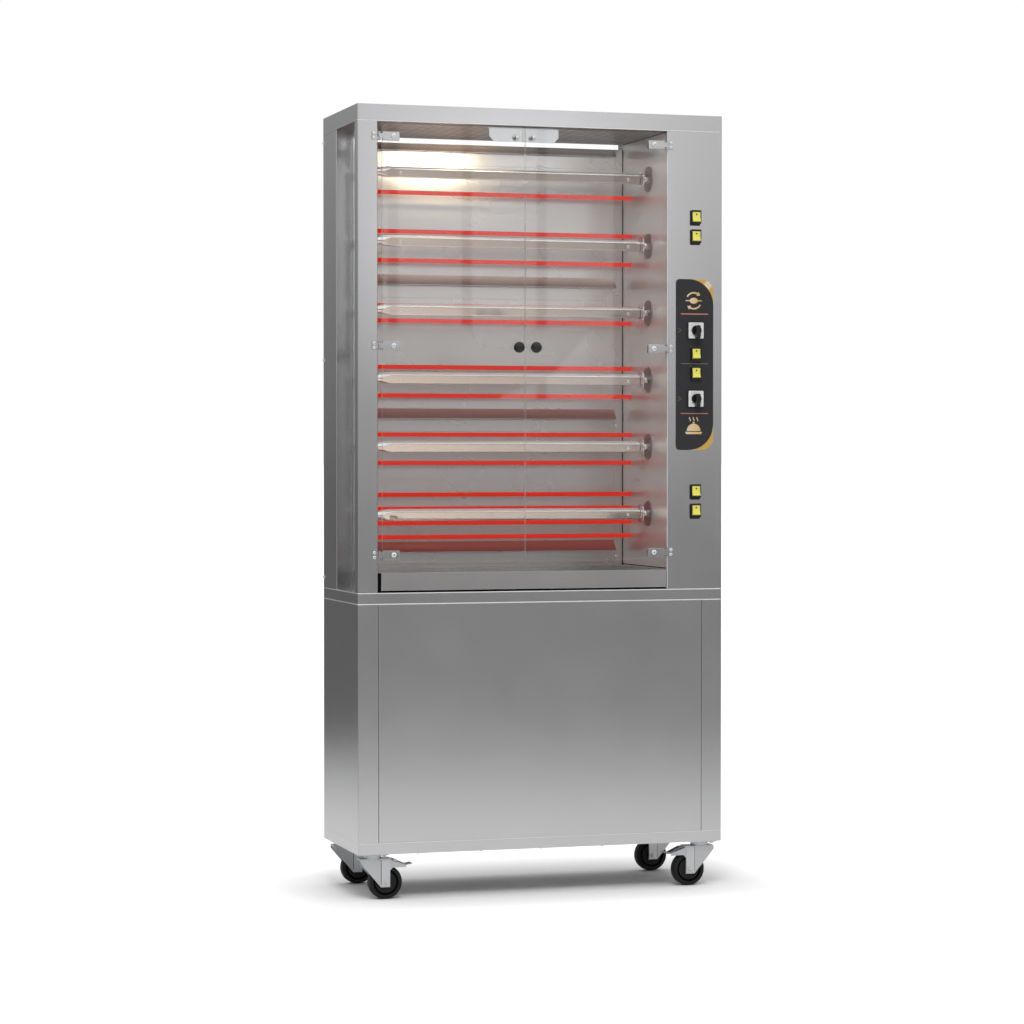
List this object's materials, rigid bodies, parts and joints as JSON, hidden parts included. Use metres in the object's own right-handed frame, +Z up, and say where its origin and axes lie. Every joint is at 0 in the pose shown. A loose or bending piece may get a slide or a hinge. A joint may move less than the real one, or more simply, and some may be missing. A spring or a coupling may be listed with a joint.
{
  "type": "spit rotisserie",
  "caption": "Upright electric spit rotisserie with glass doors, horizontal spits over red heater rods, a side control column and a closed stand on casters.",
  "frame": {"origin": "floor level under the middle of the whole object", "axes": "+Z up, -Y towards the doors, +X towards the control column"},
  "size_m": [1.138, 0.4934, 2.326],
  "materials": {
    "steel_skin": "brushed stainless steel, satin",
    "steel_inner": "stainless steel inside the hot cavity",
    "steel_bright": "polished stainless steel fittings",
    "spit_steel": "smooth stainless spit, warm from use",
    "clear_glass": "clear tempered glass",
    "black_plastic": "black moulded plastic",
    "yellow_plastic": "translucent yellow rocker",
    "white_plastic": "white switch plate",
    "badge_print": "dark printed plate",
    "glowing_sheath": "heater sheath glowing red",
    "ceramic": "white ceramic bush",
    "motor_grey": "painted geared motor",
    "zinc": "zinc plated pressed steel",
    "rubber_black": "black solid rubber"
  },
  "bodies": {
    "root": {"stand_base_frame": "steel_skin", "stand_left_side": "steel_skin", "stand_right_side": "steel_skin", "stand_front_panel": "steel_skin", "stand_rear_panel": "steel_skin", "body_base": "steel_skin", "top_cap": "steel_skin", "ceiling_panel": "steel_inner", "left_front_post": "steel_skin", "rear_left_box": "steel_skin", "left_window": "clear_glass", "spit_rest_rail": "steel_inner", "back_wall": "steel_inner", "deflector_ledges": "steel_inner", "rear_cover": "steel_skin", "right_inner_wall": "steel_inner", "control_fascia": "steel_skin", "right_side_panel": "steel_skin", "body_screws": "steel_bright", "cable_gland": "black_plastic", "control_badge": "badge_print", "rocker_switches": "black_plastic", "selector_switches": "white_plastic", "hinge_brackets": "steel_bright", "door_catch_plate": "steel_bright", "heater_tubes": "glowing_sheath", "heater_ceramics": "ceramic", "spit_gearmotors": "motor_grey", "caster_plates": "zinc"},
    "door_left": {"door_left_glass": "clear_glass", "door_left_fittings": "steel_bright", "door_left_knob": "black_plastic"},
    "door_right": {"door_right_glass": "clear_glass", "door_right_fittings": "steel_bright", "door_right_knob": "black_plastic"},
    "spit_1": {"spit_1": "spit_steel"},
    "spit_2": {"spit_2": "spit_steel"},
    "spit_3": {"spit_3": "spit_steel"},
    "spit_4": {"spit_4": "spit_steel"},
    "spit_5": {"spit_5": "spit_steel"},
    "spit_6": {"spit_6": "spit_steel"},
    "rocker_1": {"rocker_1": "yellow_plastic"},
    "rocker_2": {"rocker_2": "yellow_plastic"},
    "rocker_3": {"rocker_3": "yellow_plastic"},
    "rocker_4": {"rocker_4": "yellow_plastic"},
    "rocker_5": {"rocker_5": "yellow_plastic"},
    "rocker_6": {"rocker_6": "yellow_plastic"},
    "selector_upper": {"selector_knob_upper": "black_plastic"},
    "selector_lower": {"selector_knob_lower": "black_plastic"},
    "drip_tray": {"drip_tray": "steel_inner"},
    "caster_front_left": {"caster_fork_front_left": "zinc"},
    "wheel_front_left": {"caster_wheel_front_left": "rubber_black"},
    "brake_front_left": {"caster_brake_front_left": "zinc"},
    "caster_front_right": {"caster_fork_front_right": "zinc"},
    "wheel_front_right": {"caster_wheel_front_right": "rubber_black"},
    "brake_front_right": {"caster_brake_front_right": "zinc"},
    "caster_rear_left": {"caster_fork_rear_left": "zinc"},
    "wheel_rear_left": {"caster_wheel_rear_left": "rubber_black"},
    "caster_rear_right": {"caster_fork_rear_right": "zinc"},
    "wheel_rear_right": {"caster_wheel_rear_right": "rubber_black"}
  },
  "joints": [
    {"name": "door_left_hinge", "type": "hinge", "parent": "root", "child": "door_left", "pos_m": [-0.5025, -0.20575, 0.993], "axis": [0, 0, -1], "range_deg": [0, 110]},
    {"name": "door_right_hinge", "type": "hinge", "parent": "root", "child": "door_right", "pos_m": [0.3875, -0.20575, 0.993], "axis": [0, 0, 1], "range_deg": [0, 110]},
    {"name": "spit_1_spin", "type": "hinge", "parent": "root", "child": "spit_1", "pos_m": [-0.0575, -0.03425, 2.146], "axis": [1, 0, 0], "continuous": true},
    {"name": "spit_2_spin", "type": "hinge", "parent": "root", "child": "spit_2", "pos_m": [-0.0575, -0.03425, 1.942], "axis": [1, 0, 0], "continuous": true},
    {"name": "spit_3_spin", "type": "hinge", "parent": "root", "child": "spit_3", "pos_m": [-0.0575, -0.03425, 1.738], "axis": [1, 0, 0], "continuous": true},
    {"name": "spit_4_spin", "type": "hinge", "parent": "root", "child": "spit_4", "pos_m": [-0.0575, -0.03425, 1.534], "axis": [1, 0, 0], "continuous": true},
    {"name": "spit_5_spin", "type": "hinge", "parent": "root", "child": "spit_5", "pos_m": [-0.0575, -0.03425, 1.33], "axis": [1, 0, 0], "continuous": true},
    {"name": "spit_6_spin", "type": "hinge", "parent": "root", "child": "spit_6", "pos_m": [-0.0575, -0.03425, 1.126], "axis": [1, 0, 0], "continuous": true},
    {"name": "rocker_1_tilt", "type": "hinge", "parent": "root", "child": "rocker_1", "pos_m": [0.482, -0.20525, 2.02058], "axis": [1, 0, 0], "range_deg": [0, 16]},
    {"name": "rocker_2_tilt", "type": "hinge", "parent": "root", "child": "rocker_2", "pos_m": [0.482, -0.20525, 1.96258], "axis": [1, 0, 0], "range_deg": [0, 16]},
    {"name": "rocker_3_tilt", "type": "hinge", "parent": "root", "child": "rocker_3", "pos_m": [0.482, -0.20525, 1.60976], "axis": [1, 0, 0], "range_deg": [0, 16]},
    {"name": "rocker_4_tilt", "type": "hinge", "parent": "root", "child": "rocker_4", "pos_m": [0.482, -0.20525, 1.55176], "axis": [1, 0, 0], "range_deg": [0, 16]},
    {"name": "rocker_5_tilt", "type": "hinge", "parent": "root", "child": "rocker_5", "pos_m": [0.482, -0.20525, 1.19618], "axis": [1, 0, 0], "range_deg": [0, 16]},
    {"name": "rocker_6_tilt", "type": "hinge", "parent": "root", "child": "rocker_6", "pos_m": [0.482, -0.20525, 1.13818], "axis": [1, 0, 0], "range_deg": [0, 16]},
    {"name": "selector_upper_turn", "type": "hinge", "parent": "root", "child": "selector_upper", "pos_m": [0.482, -0.19925, 1.67951], "axis": [0, 1, 0], "range_deg": [-180, 90]},
    {"name": "selector_lower_turn", "type": "hinge", "parent": "root", "child": "selector_lower", "pos_m": [0.482, -0.19925, 1.47401], "axis": [0, 1, 0], "range_deg": [-180, 90]},
    {"name": "drip_tray_slide", "type": "slide", "parent": "root", "child": "drip_tray", "axis": [0, -1, 0], "range_m": [0, 0.3]},
    {"name": "caster_front_left_swivel", "type": "hinge", "parent": "root", "child": "caster_front_left", "pos_m": [-0.513, -0.15325, 0.1207], "axis": [0, 0, 1], "continuous": true},
    {"name": "wheel_front_left_roll", "type": "hinge", "parent": "caster_front_left", "child": "wheel_front_left", "pos_m": [-0.475, -0.15325, 0.05], "axis": [0, 1, 0], "continuous": true},
    {"name": "brake_front_left_press", "type": "hinge", "parent": "caster_front_left", "child": "brake_front_left", "pos_m": [-0.475, -0.15325, 0.10785], "axis": [0, 1, 0], "range_deg": [0, 12]},
    {"name": "caster_front_right_swivel", "type": "hinge", "parent": "root", "child": "caster_front_right", "pos_m": [0.513, -0.15325, 0.1207], "axis": [0, 0, 1], "continuous": true},
    {"name": "wheel_front_right_roll", "type": "hinge", "parent": "caster_front_right", "child": "wheel_front_right", "pos_m": [0.475, -0.15325, 0.05], "axis": [0, 1, 0], "continuous": true},
    {"name": "brake_front_right_press", "type": "hinge", "parent": "caster_front_right", "child": "brake_front_right", "pos_m": [0.475, -0.15325, 0.10785], "axis": [0, -1, 0], "range_deg": [0, 12]},
    {"name": "caster_rear_left_swivel", "type": "hinge", "parent": "root", "child": "caster_rear_left", "pos_m": [-0.513, 0.17675, 0.1207], "axis": [0, 0, 1], "continuous": true},
    {"name": "wheel_rear_left_roll", "type": "hinge", "parent": "caster_rear_left", "child": "wheel_rear_left", "pos_m": [-0.475, 0.17675, 0.05], "axis": [0, 1, 0], "continuous": true},
    {"name": "caster_rear_right_swivel", "type": "hinge", "parent": "root", "child": "caster_rear_right", "pos_m": [0.513, 0.17675, 0.1207], "axis": [0, 0, 1], "continuous": true},
    {"name": "wheel_rear_right_roll", "type": "hinge", "parent": "caster_rear_right", "child": "wheel_rear_right", "pos_m": [0.475, 0.17675, 0.05], "axis": [0, 1, 0], "continuous": true}
  ]
}
